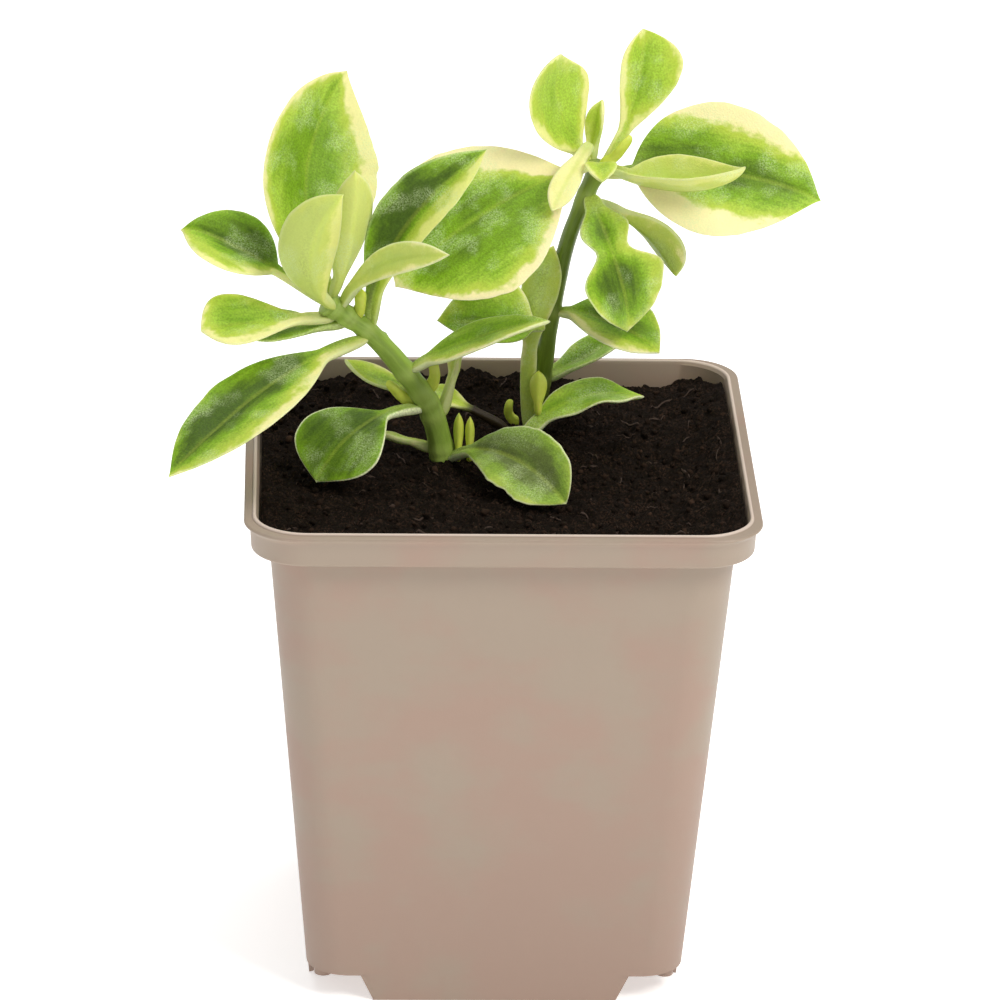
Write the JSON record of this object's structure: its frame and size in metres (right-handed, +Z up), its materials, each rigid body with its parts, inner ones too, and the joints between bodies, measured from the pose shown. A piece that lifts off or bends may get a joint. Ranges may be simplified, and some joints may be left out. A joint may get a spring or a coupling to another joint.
{
  "type": "potted ice plant",
  "caption": "Young variegated ice plant with two leafy shoots, rooted in dark soil in a thin square taupe nursery pot.",
  "frame": {"origin": "on the ground under the middle of the square pot", "axes": "+Z up along the pot's height, -Y towards the front wall that the picture faces, +X to the right in the picture"},
  "size_m": [0.115, 0.09, 0.164],
  "materials": {
    "pot": "satin",
    "soil": "matte",
    "stem": "satin",
    "leaf": "satin",
    "bud": "satin"
  },
  "bodies": {
    "root": {"pot": "pot", "soil": "soil", "left_stem": "stem", "right_stem": "stem", "left_tall_leaf": "leaf", "left_inner_leaf_front": "leaf", "left_inner_leaf_back": "leaf", "left_far_leaf": "leaf", "left_spoon_leaf": "leaf", "left_shaded_leaf": "leaf", "left_hanging_leaf": "leaf", "left_recurved_leaf": "leaf", "left_folded_leaf": "leaf", "left_forward_leaf": "leaf", "left_narrow_leaf": "leaf", "left_broad_leaf": "leaf", "left_behind_leaf": "leaf", "left_soil_leaf": "leaf", "left_dry_stalk_leaf": "leaf", "right_largest_leaf": "leaf", "right_under_leaf": "leaf", "right_upright_leaf": "leaf", "right_waisted_leaf": "leaf", "right_arched_leaf": "leaf", "right_dark_leaf": "leaf", "right_back_leaf": "leaf", "right_wavy_leaf": "leaf", "right_big_leaf": "leaf", "right_channel_leaf": "leaf", "right_top_leaf_left": "leaf", "right_top_leaf_right": "leaf", "right_top_leaf_small": "leaf", "right_front_leaf": "leaf", "right_pale_leaf": "leaf", "soil_bud_tall": "bud", "soil_bud_short": "bud", "left_stem_bud_low": "bud", "left_stem_bud_high": "bud", "left_axil_bud": "bud", "left_small_low_leaf": "leaf", "right_foot_bud": "bud", "right_foot_sprout": "bud", "right_top_bud": "bud"}
  },
  "joints": []
}
